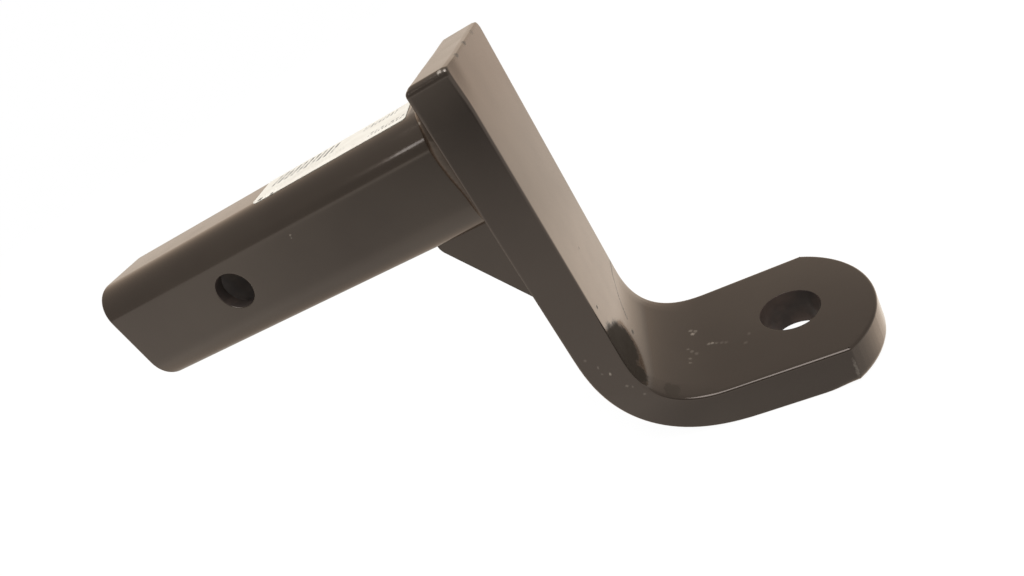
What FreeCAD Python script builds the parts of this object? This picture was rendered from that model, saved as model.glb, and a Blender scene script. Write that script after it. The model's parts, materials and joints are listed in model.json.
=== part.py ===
import FreeCAD, Part
import os

import Sketcher

# Ball mount for a trailer hitch: a square tube shank that slides into a receiver, welded to the back
# of a thick flat bar. The bar drops from the shank and is bent forward into the platform for the tow
# ball. A gusset plate stiffens the corner under the shank, and a label is stuck on top of it.
# Millimetres, +Z up, +X from the hitch pin towards the ball, +Y across.
# The origin is the centre of the hitch-pin hole, on the axis of the shank.

SIZES = [
    ("shank_side", 50.8, "outside of the square tube, to suit a receiver of the same nominal size"),
    ("shank_wall", 6.35, "wall of the tube"),
    ("shank_corner", 13.5, "outside radius of the tube's four long corners"),
    ("shank_end_round", 1.0, "rounding of the outer edge of the tube's open end"),
    ("pin_hole", 16.7, "diameter of the hitch-pin hole"),
    ("pin_to_open_end", 63.5, "from the hitch pin back to the open end of the shank"),
    ("pin_to_bar", 114.3, "from the hitch pin forward to the back face of the bar"),
    ("bar_width", 73.0, "width of the flat bar"),
    ("bar_thickness", 18.0, "thickness of the flat bar"),
    ("bar_rise", 12.1, "how far the bar stands above the top of the shank"),
    ("drop", 152.4, "from the top of the shank down to the top of the platform"),
    ("bend_inside", 29.0, "inside radius of the bend"),
    ("bend_outside", 50.0, "outside radius of the bend, where the bar is drawn a little thinner"),
    ("pin_to_ball", 198.0, "from the hitch pin to the centre of the ball hole"),
    ("ball_hole", 25.7, "diameter of the hole for the ball's stud"),
    ("ball_to_shoulder", 14.0, "from the ball hole's centre to the corners where the rounded end starts"),
    ("end_reach", 19.7, "how far the tip of the rounded end stands beyond those corners"),
    ("bar_edge_round", 1.2, "rounding of the bar's long edges and of the rounded end's top edge"),
    ("end_roll", 4.0, "rounding of the rounded end's lower edge, drawn in when the end was cut"),
    ("sheared_edge_round", 3.5, "rounding of the bar's top back edge, drawn in by the shear"),
    ("gusset_thickness", 12.0, "thickness of the gusset plate"),
    ("gusset_length", 35.0, "gusset edge along the shank"),
    ("gusset_height", 60.5, "gusset edge along the bar"),
    ("gusset_nose", 5.5, "height of the gusset's blunt nose"),
    ("gusset_nose_round", 2.0, "rounding of the nose's lower corner"),
    ("shank_weld_leg", 7.0, "leg of the fillet weld round the shank"),
    ("shank_weld_toe", 1.0, "height of that weld's toes"),
    ("gusset_weld_leg", 5.0, "leg of the fillet welds beside the gusset"),
    ("gusset_weld_setback", 3.0, "how far those welds stop short of the gusset's ends"),
    ("label_to_weld", 4.8, "bare paint between the label's foremost corner and the weld round the shank"),
    ("label_length", 76.0, "length of the label"),
    ("label_width", 30.0, "width of the label, seen from above"),
    ("label_skew", 5.0, "how far the label's ends lean over its width"),
    ("label_film", 0.2, "thickness of the label"),
]

FORWARD = FreeCAD.Vector(1, 0, 0)
ACROSS = FreeCAD.Vector(0, 1, 0)
UPRIGHT = FreeCAD.Vector(0, 0, 1)

doc = FreeCAD.newDocument("ball_mount")
sizes = doc.addObject("Spreadsheet::Sheet", "sizes")
for row, (alias, value, meaning) in enumerate(SIZES, start=1):
    sizes.set(f"A{row}", meaning)
    sizes.set(f"B{row}", str(value))
    sizes.setAlias(f"B{row}", alias)
doc.recompute()

# Levels and faces that several pieces share, as expressions of the sizes
HALF_SHANK = "sizes.shank_side / 2"
BAR_BACK = "sizes.pin_to_bar"
BAR_FRONT = "(sizes.pin_to_bar + sizes.bar_thickness)"
BAR_TOP = f"({HALF_SHANK} + sizes.bar_rise)"
PLATFORM_TOP = f"({HALF_SHANK} - sizes.drop)"
PLATFORM_UNDERSIDE = f"({HALF_SHANK} - sizes.drop - sizes.bar_thickness)"
SHOULDER = "(sizes.pin_to_ball + sizes.ball_to_shoulder)"
TIP = f"({SHOULDER} + sizes.end_reach)"
BAR_STOCK_END = f"({TIP} + sizes.bar_thickness)"
HALF_BAR = "sizes.bar_width / 2"
WELD_START = "(sizes.pin_to_bar - sizes.shank_weld_leg)"
LABEL_FRONT = f"({WELD_START} - sizes.label_to_weld - sizes.label_skew / 2)"
LABEL_REAR = f"({LABEL_FRONT} - sizes.label_length)"
WASTE_END = f"({TIP} + 2 * sizes.bar_thickness)"
TOUCHING = 1e-4
DRAFT_RADIUS = 10


def new_body(label):
    body = doc.addObject("PartDesign::Body", label)
    body.Label = label
    return body


def new_sketch(body, name, plane, offset=None):
    """A sketch on one of the body's own origin planes, moved along its normal by an expression."""
    sketch = body.newObject("Sketcher::SketchObject", name)
    support = next(item for item in body.Origin.OriginFeatures if item.Role == plane)
    sketch.AttachmentSupport = [(support, "")]
    sketch.MapMode = "FlatFace"
    if offset:
        sketch.setExpression("AttachmentOffset.Base.z", offset)
    return sketch


def bind_point(sketch, element, point, across, up):
    """Holds a point of the sketch at two distances from its origin, each bound to the sizes."""
    place = sketch.getPoint(element, point)
    for kind, now, expression in (("DistanceX", place.x, across), ("DistanceY", place.y, up)):
        index = sketch.addConstraint(Sketcher.Constraint(kind, -1, 1, element, point, now))
        sketch.setExpression(f"Constraints[{index}]", expression)


def add_outline(sketch, corners):
    """A closed outline with straight sides, through corners given as pairs of expressions.

    It is drafted as a regular polygon, whose corners are then pulled to their places."""
    count = len(corners)
    turn = FreeCAD.Rotation(UPRIGHT, 360 / count)
    starts = [FreeCAD.Vector(DRAFT_RADIUS, 0, 0)]
    while len(starts) < count:
        starts.append(turn.multVec(starts[-1]))
    first = sketch.GeometryCount
    for index in range(count):
        sketch.addGeometry(Part.LineSegment(starts[index], starts[(index + 1) % count]))
    for index, (across, up) in enumerate(corners):
        before = first + (index - 1) % count
        sketch.addConstraint(Sketcher.Constraint("Coincident", before, 2, first + index, 1))
        bind_point(sketch, first + index, 1, across, up)


def add_square(sketch, side):
    half = f"({side}) / 2"
    add_outline(sketch, [(f"-{half}", f"-{half}"), (half, f"-{half}"), (half, half), (f"-{half}", half)])


def add_circle(sketch, diameter, across, up):
    drafted_at = FreeCAD.Vector(DRAFT_RADIUS, DRAFT_RADIUS, 0)
    circle = sketch.addGeometry(Part.Circle(drafted_at, UPRIGHT, DRAFT_RADIUS))
    bind_point(sketch, circle, 3, across, up)
    index = sketch.addConstraint(Sketcher.Constraint("Diameter", circle, 2 * DRAFT_RADIUS))
    sketch.setExpression(f"Constraints[{index}]", diameter)


def pad(body, sketch, length, both_ways=False):
    feature = body.newObject("PartDesign::Pad", sketch.Name + "_pad")
    feature.Profile = sketch
    feature.Midplane = both_ways
    feature.setExpression("Length", length)
    doc.recompute()


def pocket(body, sketch, length=None, both_ways=False):
    """Cuts the sketch away, right through unless a length is given, and makes sure that it cut."""
    before = body.Shape.Volume
    feature = body.newObject("PartDesign::Pocket", sketch.Name + "_cut")
    feature.Profile = sketch
    feature.Midplane = both_ways
    if length:
        feature.setExpression("Length", length)
    else:
        feature.Type = "ThroughAll"
    doc.recompute()
    if not body.Shape.Volume < before - TOUCHING:
        raise RuntimeError(f"{feature.Name} cut nothing away")


def round_edges(body, name, radius, chosen):
    """Rounds those edges of the body for which chosen says yes, by a radius bound to the sizes."""
    base = body.Tip
    names = [f"Edge{n}" for n, edge in enumerate(base.Shape.Edges, start=1) if chosen(edge)]
    if not names:
        raise RuntimeError(f"{name} found no edge to round")
    feature = body.newObject("PartDesign::Fillet", name)
    feature.Base = (base, names)
    feature.setExpression("Radius", radius)
    doc.recompute()


def near(value, target):
    return abs(value - target) < TOUCHING


def runs_along(edge, axis):
    """Whether an edge is straight and parallel to the axis 0, 1 or 2."""
    box = edge.BoundBox
    spans = (box.XLength, box.YLength, box.ZLength)
    return all(span < TOUCHING for n, span in enumerate(spans) if n != axis)


def at(edge):
    return edge.BoundBox.Center


# Shank: hollow square tube, cut square at its open end and drilled across for the hitch pin
shank = new_body("shank")
tube = new_sketch(shank, "tube", "YZ_Plane", "-sizes.pin_to_open_end")
add_square(tube, "sizes.shank_side")
add_square(tube, "sizes.shank_side - 2 * sizes.shank_wall")
pad(shank, tube, "sizes.pin_to_open_end + sizes.pin_to_bar")
half_shank = sizes.shank_side / 2
half_hollow = half_shank - sizes.shank_wall
round_edges(shank, "tube_corners", "sizes.shank_corner",
            lambda edge: runs_along(edge, 0) and near(abs(at(edge).y), half_shank))
round_edges(shank, "tube_inner_corners", "sizes.shank_corner - sizes.shank_wall",
            lambda edge: runs_along(edge, 0) and near(abs(at(edge).y), half_hollow)
            and near(abs(at(edge).z), half_hollow))
pin_hole = new_sketch(shank, "pin_hole", "XZ_Plane")
add_circle(pin_hole, "sizes.pin_hole", "0", "0")
pocket(shank, pin_hole, "2 * sizes.shank_side", both_ways=True)
round_edges(shank, "open_end_edge", "sizes.shank_end_round",
            lambda edge: near(edge.BoundBox.XLength, 0) and near(at(edge).x, -sizes.pin_to_open_end)
            and max(abs(at(edge).y), abs(at(edge).z)) > half_hollow + TOUCHING)

# Drop bar: one length of flat bar, bent once, with the ball hole and a rounded end
drop_bar = new_body("drop_bar")
bent_bar = new_sketch(drop_bar, "bent_bar", "XZ_Plane")
add_outline(bent_bar, [
    (BAR_BACK, BAR_TOP),
    (BAR_FRONT, BAR_TOP),
    (BAR_FRONT, PLATFORM_TOP),
    (BAR_STOCK_END, PLATFORM_TOP),
    (BAR_STOCK_END, PLATFORM_UNDERSIDE),
    (BAR_BACK, PLATFORM_UNDERSIDE),
])
pad(drop_bar, bent_bar, "sizes.bar_width", both_ways=True)
bar_front = sizes.pin_to_bar + sizes.bar_thickness
bar_top = half_shank + sizes.bar_rise
platform_top = half_shank - sizes.drop
platform_underside = platform_top - sizes.bar_thickness
half_bar = sizes.bar_width / 2
shoulder = sizes.pin_to_ball + sizes.ball_to_shoulder
round_edges(drop_bar, "inside_of_bend", "sizes.bend_inside",
            lambda edge: runs_along(edge, 1) and near(at(edge).x, bar_front)
            and near(at(edge).z, platform_top))
round_edges(drop_bar, "outside_of_bend", "sizes.bend_outside",
            lambda edge: runs_along(edge, 1) and near(at(edge).x, sizes.pin_to_bar)
            and near(at(edge).z, platform_underside))

# The rounded end is one arc from shoulder to shoulder through the tip; what lies outside it is cut off
end_radius = f"(({HALF_BAR}) ^ 2 + sizes.end_reach ^ 2) / (2 * sizes.end_reach)"
end_cut = new_sketch(drop_bar, "end_cut", "XY_Plane")
near_shoulder = FreeCAD.Vector(shoulder, -half_bar, 0)
far_shoulder = FreeCAD.Vector(shoulder, half_bar, 0)
tip = FreeCAD.Vector(shoulder + sizes.end_reach, 0, 0)
waste_end = tip.x + 2 * sizes.bar_thickness
waste = [
    near_shoulder,
    FreeCAD.Vector(shoulder, -sizes.bar_width, 0),
    FreeCAD.Vector(waste_end, -sizes.bar_width, 0),
    FreeCAD.Vector(waste_end, sizes.bar_width, 0),
    FreeCAD.Vector(shoulder, sizes.bar_width, 0),
    far_shoulder,
]
for start, end in zip(waste, waste[1:]):
    end_cut.addGeometry(Part.LineSegment(start, end))
arc = end_cut.addGeometry(Part.Arc(near_shoulder, tip, far_shoulder))
for side in range(arc - 1):
    end_cut.addConstraint(Sketcher.Constraint("Coincident", side, 2, side + 1, 1))
end_cut.addConstraint(Sketcher.Constraint("Coincident", arc, 1, 0, 1))
end_cut.addConstraint(Sketcher.Constraint("Coincident", arc, 2, arc - 1, 2))
bind_point(end_cut, 0, 1, SHOULDER, f"-{HALF_BAR}")
bind_point(end_cut, 1, 1, SHOULDER, "-sizes.bar_width")
bind_point(end_cut, 2, 1, WASTE_END, "-sizes.bar_width")
bind_point(end_cut, 3, 1, WASTE_END, "sizes.bar_width")
bind_point(end_cut, 4, 1, SHOULDER, "sizes.bar_width")
bind_point(end_cut, arc - 1, 2, SHOULDER, HALF_BAR)
arc_size = end_cut.addConstraint(Sketcher.Constraint("Radius", arc, end_cut.Geometry[arc].Radius))
end_cut.setExpression(f"Constraints[{arc_size}]", end_radius)
pocket(drop_bar, end_cut)

round_edges(drop_bar, "sheared_edge", "sizes.sheared_edge_round",
            lambda edge: runs_along(edge, 1) and near(at(edge).x, sizes.pin_to_bar)
            and near(at(edge).z, bar_top))
round_edges(drop_bar, "rolled_end", "sizes.end_roll",
            lambda edge: at(edge).x > shoulder + TOUCHING
            and near(at(edge).z, platform_underside))
round_edges(drop_bar, "bar_edges", "sizes.bar_edge_round",
            lambda edge: (near(abs(at(edge).y), half_bar) and not near(at(edge).x, shoulder))
            or at(edge).x > shoulder + TOUCHING)
ball_hole = new_sketch(drop_bar, "ball_hole", "XY_Plane")
add_circle(ball_hole, "sizes.ball_hole", "sizes.pin_to_ball", "0")
pocket(drop_bar, ball_hole)

# Gusset: triangular plate with a blunt nose, set on edge in the corner under the shank
gusset = new_body("gusset")
plate = new_sketch(gusset, "plate", "XZ_Plane")
add_outline(plate, [
    (BAR_BACK, f"-{HALF_SHANK}"),
    (BAR_BACK, f"-{HALF_SHANK} - sizes.gusset_height"),
    (f"{BAR_BACK} - sizes.gusset_length", f"-{HALF_SHANK} - sizes.gusset_nose"),
    (f"{BAR_BACK} - sizes.gusset_length", f"-{HALF_SHANK}"),
])
pad(gusset, plate, "sizes.gusset_thickness", both_ways=True)
nose_x = sizes.pin_to_bar - sizes.gusset_length
nose_z = -half_shank - sizes.gusset_nose
round_edges(gusset, "nose_corner", "sizes.gusset_nose_round",
            lambda edge: runs_along(edge, 1) and near(at(edge).x, nose_x) and near(at(edge).z, nose_z))

# Weld round the shank: a convex bead that fills the corner between the tube and the bar's back,
# with a gap underneath where the gusset stands
shank_weld = new_body("shank_weld")
bead = new_sketch(shank_weld, "bead", "YZ_Plane", WELD_START)
add_square(bead, "sizes.shank_side + 2 * sizes.shank_weld_leg")
add_square(bead, "sizes.shank_side")
pad(shank_weld, bead, "sizes.shank_weld_leg")
half_bead = half_shank + sizes.shank_weld_leg
bead_start = sizes.pin_to_bar - sizes.shank_weld_leg
round_edges(shank_weld, "bead_corners", "sizes.shank_corner + sizes.shank_weld_leg",
            lambda edge: runs_along(edge, 0) and near(abs(at(edge).y), half_bead))
round_edges(shank_weld, "bead_inner_corners", "sizes.shank_corner",
            lambda edge: runs_along(edge, 0) and near(abs(at(edge).y), half_shank)
            and near(abs(at(edge).z), half_shank))
round_edges(shank_weld, "bead_crown", "sizes.shank_weld_leg - sizes.shank_weld_toe",
            lambda edge: near(edge.BoundBox.XLength, 0) and near(at(edge).x, bead_start)
            and max(abs(at(edge).y), abs(at(edge).z)) > half_shank + TOUCHING)
gusset_gap = new_sketch(shank_weld, "gusset_gap", "XZ_Plane")
add_outline(gusset_gap, [
    (WELD_START, f"-{HALF_SHANK}"),
    (BAR_BACK, f"-{HALF_SHANK}"),
    (BAR_BACK, f"-{HALF_SHANK} - sizes.shank_weld_leg"),
    (WELD_START, f"-{HALF_SHANK} - sizes.shank_weld_leg"),
])
pocket(shank_weld, gusset_gap, "sizes.gusset_thickness", both_ways=True)

# Welds beside the gusset: on each side one bead along the shank and one down the bar, each a quarter
# round that starts where the weld round the shank ends
QUARTER_TURN = 90
far_along = FreeCAD.Rotation(ACROSS, QUARTER_TURN)
near_along = FreeCAD.Rotation(FORWARD, -QUARTER_TURN).multiply(far_along)
far_down = FreeCAD.Rotation(UPRIGHT, QUARTER_TURN)
near_down = FreeCAD.Rotation(UPRIGHT, 2 * QUARTER_TURN)


def quarter_bead(name, turn, length, corner):
    """A quarter round along a corner, which starts at a point given by three expressions."""
    bead = doc.addObject("Part::Cylinder", name)
    bead.Angle = QUARTER_TURN
    bead.Placement = FreeCAD.Placement(FreeCAD.Vector(), turn)
    bead.setExpression("Radius", "sizes.gusset_weld_leg")
    bead.setExpression("Height", length)
    for axis, place in zip("xyz", corner):
        bead.setExpression(f"Placement.Base.{axis}", place)
    return bead


along_length = "sizes.gusset_length - sizes.gusset_weld_setback - sizes.shank_weld_leg"
down_length = "sizes.gusset_height - sizes.gusset_weld_setback - sizes.shank_weld_leg"
nose_end = f"{BAR_BACK} - sizes.gusset_length + sizes.gusset_weld_setback"
foot_end = f"-{HALF_SHANK} - sizes.gusset_height + sizes.gusset_weld_setback"
near_face = "-sizes.gusset_thickness / 2"
far_face = "sizes.gusset_thickness / 2"
gusset_weld = doc.addObject("Part::MultiFuse", "gusset_weld")
gusset_weld.Label = "gusset_weld"
gusset_weld.Shapes = [
    quarter_bead("near_bead_along", near_along, along_length, (nose_end, near_face, f"-{HALF_SHANK}")),
    quarter_bead("near_bead_down", near_down, down_length, (BAR_BACK, near_face, foot_end)),
    quarter_bead("far_bead_along", far_along, along_length, (nose_end, far_face, f"-{HALF_SHANK}")),
    quarter_bead("far_bead_down", far_down, down_length, (BAR_BACK, far_face, foot_end)),
]

# Label: thin film on the flat top of the shank that laps over the start of its two rounded corners.
# It is what a leaning outline keeps of a sleeve that fits closely round the tube.
sleeve = new_body("label_sleeve")
wrap = new_sketch(sleeve, "wrap", "YZ_Plane", f"{LABEL_REAR} - sizes.label_skew")
add_square(wrap, "sizes.shank_side + 2 * sizes.label_film")
add_square(wrap, "sizes.shank_side")
pad(sleeve, wrap, "sizes.label_length + 2 * sizes.label_skew")
half_sleeve = half_shank + sizes.label_film
round_edges(sleeve, "wrap_corners", "sizes.shank_corner + sizes.label_film",
            lambda edge: runs_along(edge, 0) and near(abs(at(edge).y), half_sleeve))
round_edges(sleeve, "wrap_inner_corners", "sizes.shank_corner",
            lambda edge: runs_along(edge, 0) and near(abs(at(edge).y), half_shank)
            and near(abs(at(edge).z), half_shank))
trim = new_body("label_trim")
film = new_sketch(trim, "film", "XY_Plane")
lean = "sizes.label_skew / 2"
edge_y = "sizes.label_width / 2"
add_outline(film, [
    (f"{LABEL_REAR} + {lean}", f"-{edge_y}"),
    (f"{LABEL_FRONT} + {lean}", f"-{edge_y}"),
    (f"{LABEL_FRONT} - {lean}", edge_y),
    (f"{LABEL_REAR} - {lean}", edge_y),
])
pad(trim, film, "sizes.shank_side")
label = doc.addObject("Part::Common", "label")
label.Label = "label"
label.Base = sleeve
label.Tool = trim
doc.recompute()

pieces = (shank, drop_bar, gusset, shank_weld, gusset_weld, label)
for item in doc.Objects:
    if {"Invalid", "Error"} & set(item.State):
        raise RuntimeError(f"{item.Label} did not build: {item.State}")
for piece in pieces:
    if piece.Shape.isNull() or not piece.Shape.isValid():
        raise RuntimeError(f"{piece.Label} has no valid shape")

os.makedirs("parts", exist_ok=True)
for piece in pieces:
    piece.Shape.exportStep(f"parts/{piece.Label}.step")
    print(piece.Label, len(piece.Shape.Solids), "solids", round(piece.Shape.Volume / 1000, 2), "cm3")
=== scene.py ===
import json
import math

import bmesh
import bpy
from mathutils import Matrix, Vector, noise


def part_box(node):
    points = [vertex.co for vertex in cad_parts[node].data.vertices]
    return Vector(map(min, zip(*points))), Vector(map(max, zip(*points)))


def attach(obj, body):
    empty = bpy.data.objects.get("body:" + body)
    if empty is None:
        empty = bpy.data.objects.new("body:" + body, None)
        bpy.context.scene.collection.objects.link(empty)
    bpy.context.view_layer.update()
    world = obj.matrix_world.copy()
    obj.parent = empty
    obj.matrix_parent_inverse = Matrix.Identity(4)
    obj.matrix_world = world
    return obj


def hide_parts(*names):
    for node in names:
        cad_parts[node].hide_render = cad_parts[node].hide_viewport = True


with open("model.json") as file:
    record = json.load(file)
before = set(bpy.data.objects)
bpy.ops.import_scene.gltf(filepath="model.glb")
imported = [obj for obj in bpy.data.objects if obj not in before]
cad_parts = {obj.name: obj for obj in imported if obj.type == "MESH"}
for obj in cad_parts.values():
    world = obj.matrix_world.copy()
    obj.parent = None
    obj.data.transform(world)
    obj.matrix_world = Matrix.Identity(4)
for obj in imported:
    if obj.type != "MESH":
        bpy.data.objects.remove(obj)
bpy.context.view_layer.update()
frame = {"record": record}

# Shank: a length of hollow square steel tube with rounded corners, sawn square at its open end.
# Both side walls are drilled for the hitch pin, and the whole mount is sprayed semi-gloss black
# after welding, so this section also mixes the paint that all the steel wears.
MM = 0.001
mounts = {mount["name"]: mount for mount in frame["record"]["mounts"]}
shank_low, shank_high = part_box("shank")
SHANK_HALF = shank_high.y
SHANK_WALL = 6.35 * MM
SHANK_CORNER = 13.5 * MM
SHANK_FLAT = SHANK_HALF - SHANK_CORNER
CORNER_STEPS = 14
PIN_RADIUS = mounts["pin_hole"]["dims"]["r_mm"] * MM
PIN_RIM = 0.4 * MM
PIN_SEGMENTS = 64
SAWN_EDGE = 1.0 * MM
SMOOTH_BELOW = math.radians(38)
SQUARE_EDGE = 60
EDGE_STEPS = 3
TOUCHING = 1e-6


def crease(edge, degrees):
    """Whether an edge lies between two faces that meet at more than this angle."""
    return edge.is_manifold and edge.calc_face_angle() > math.radians(degrees)


def round_edges(mesh, edges, radius, steps):
    bmesh.ops.bevel(mesh, geom=edges, offset=radius, offset_type="OFFSET", affect="EDGES",
                    segments=steps, profile=0.5, material=-1, clamp_overlap=False)


def pull(mesh, edges, move):
    """Extrudes a run of edges and carries the new ones by a vector; returns the new edges."""
    grown = bmesh.ops.extrude_edge_only(mesh, edges=edges)["geom"]
    corners = [item for item in grown if isinstance(item, bmesh.types.BMVert)]
    bmesh.ops.translate(mesh, verts=corners, vec=move)
    return [item for item in grown if isinstance(item, bmesh.types.BMEdge)
            and all(corner in corners for corner in item.verts)]


def place_piece(mesh, name, node, slot, *paints):
    """Makes a finished mesh into a piece that stands for its CAD node."""
    for face in mesh.faces:
        face.smooth = True
    for edge in mesh.edges:
        edge.smooth = edge.is_manifold and edge.calc_face_angle() < SMOOTH_BELOW
    data = bpy.data.meshes.new(name)
    mesh.to_mesh(data)
    mesh.free()
    for paint in paints:
        data.materials.append(paint)
    piece = bpy.data.objects.new(name, data)
    bpy.context.collection.objects.link(piece)
    flats = piece.modifiers.new("even_flats", "WEIGHTED_NORMAL")
    flats.keep_sharp = True
    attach(piece, "root")
    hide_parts(node)
    return piece


def add_node(tree, kind, inputs=None, **settings):
    """Adds a shader node and fills its inputs with plain values or with other nodes' outputs."""
    made = tree.nodes.new(kind)
    for name, value in settings.items():
        setattr(made, name, value)
    for name, value in (inputs or {}).items():
        if isinstance(value, bpy.types.NodeSocket):
            tree.links.new(value, made.inputs[name])
        else:
            made.inputs[name].default_value = value
    return made


def new_material(name):
    """An empty material, its node tree, its Principled shader and the object's own coordinates."""
    material = bpy.data.materials.new(name)
    material.use_nodes = True
    tree = material.node_tree
    shader = tree.nodes["Principled BSDF"]
    place = add_node(tree, "ShaderNodeTexCoord").outputs["Object"]
    return material, tree, shader, place


def blotches(tree, place, scale, detail):
    """Soft random patches; the scale is in patches to a metre."""
    grains = add_node(tree, "ShaderNodeTexNoise", {"Vector": place, "Scale": scale, "Detail": detail})
    return grains.outputs["Fac"]


def fade(tree, value, low, high, at_low=0.0, at_high=1.0):
    """A smooth step from one amount to another between two values."""
    return add_node(tree, "ShaderNodeMapRange",
                    {"Value": value, "From Min": low, "From Max": high, "To Min": at_low, "To Max": at_high},
                    interpolation_type="SMOOTHSTEP").outputs["Result"]


def combine(tree, operation, first, second):
    return add_node(tree, "ShaderNodeMath", {0: first, 1: second}, operation=operation).outputs[0]


def vectors(tree, operation, first, second=(0, 0, 0)):
    """A vector worked out from one or two others, or a value where the operation gives one."""
    made = add_node(tree, "ShaderNodeVectorMath", {0: first, 1: second}, operation=operation)
    return made.outputs["Value" if operation in ("LENGTH", "DISTANCE", "DOT_PRODUCT") else "Vector"]


def mix_colours(tree, share, below, above):
    return add_node(tree, "ShaderNodeMix", {0: share, 6: below, 7: above}, data_type="RGBA").outputs[2]


def marks_at(tree, place, marks, ragged=1.2, grain=900.0, solid=0.3):
    """A mask of marks, each a place and half sizes in millimetres and a strength. Their edges wander by the
    ragged amount, and the solid share of each has its full strength."""
    grains = add_node(tree, "ShaderNodeTexNoise", {"Vector": place, "Scale": grain, "Detail": 2.0})
    shift = vectors(tree, "MULTIPLY", grains.outputs["Color"], [ragged * MM] * 3)
    ragged_place = vectors(tree, "ADD", place, shift)
    mask = 0.0
    for spot, half_sizes, strength in marks:
        middle = [(part + ragged / 2) * MM for part in spot]
        inverse = [1 / (half * MM) for half in half_sizes]
        away = vectors(tree, "SUBTRACT", ragged_place, middle)
        length = vectors(tree, "LENGTH", vectors(tree, "MULTIPLY", away, inverse))
        mask = combine(tree, "MAXIMUM", mask, fade(tree, length, 1.0, solid, 0.0, strength))
    return mask


PAINT_BLACK = (0.036, 0.028, 0.024, 1)
PAINT_THIN = (0.047, 0.038, 0.032, 1)
# Pale grey of the dust specks and scuffs, also used for painted glints.
DUST_AND_GLINT_GREY = (0.34, 0.31, 0.28, 1)
# The dark of the pits, and of the painted shade.
PITS_AND_SHADE_BLACK = (0.013, 0.012, 0.010, 1)
WARM_EDGE = (1.0, 0.8, 0.64, 1)
PAINT_METAL = 0.7
PAINT_COAT = 0.6
COAT_ROUGHNESS = 0.09
PAINT_GLOSS = (0.13, 0.2)
DULL_ROUGHNESS = 0.65
PEEL_PITCH = 480.0
PEEL_HEIGHT = 0.35
SAG_PITCH = 45.0
SAG_HEIGHT = 2.2
RELIEF = 0.00008
DUST_PITCH = 130.0
DUST_STRENGTH = 0.25
DUST_HEIGHT = 2.0
DUST_ROUGHNESS = 0.4
HOLE_BROWN = (0.046, 0.036, 0.032, 1)
HOLE_RUST = (0.076, 0.054, 0.045, 1)
SCALE_GREY = (0.17, 0.15, 0.14, 1)
SCALE_BROWN = (0.22, 0.18, 0.155, 1)
SHANK_DUST = [((38.8, -25.4, 9.6), (0.6, 0.6, 0.7), 0.4), ((8.6, -25.0, -17.5), (0.7, 0.7, 0.7), 0.3),
              ((44.5, -25.0, 17.3), (0.6, 0.6, 0.6), 0.2), ((18.7, -21.4, 23.9), (0.7, 0.7, 0.7), 0.25),
              ((-50.6, -21.4, 24.8), (0.6, 0.6, 0.6), 0.25)]
# Painted shade: a darker, duller place on the shank's top where it meets the bar.
SHANK_PAINTED_SHADE = [((105.5, -4.0, 25.4), (3.6, 16.0, 3.0), 0.4)]


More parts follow.
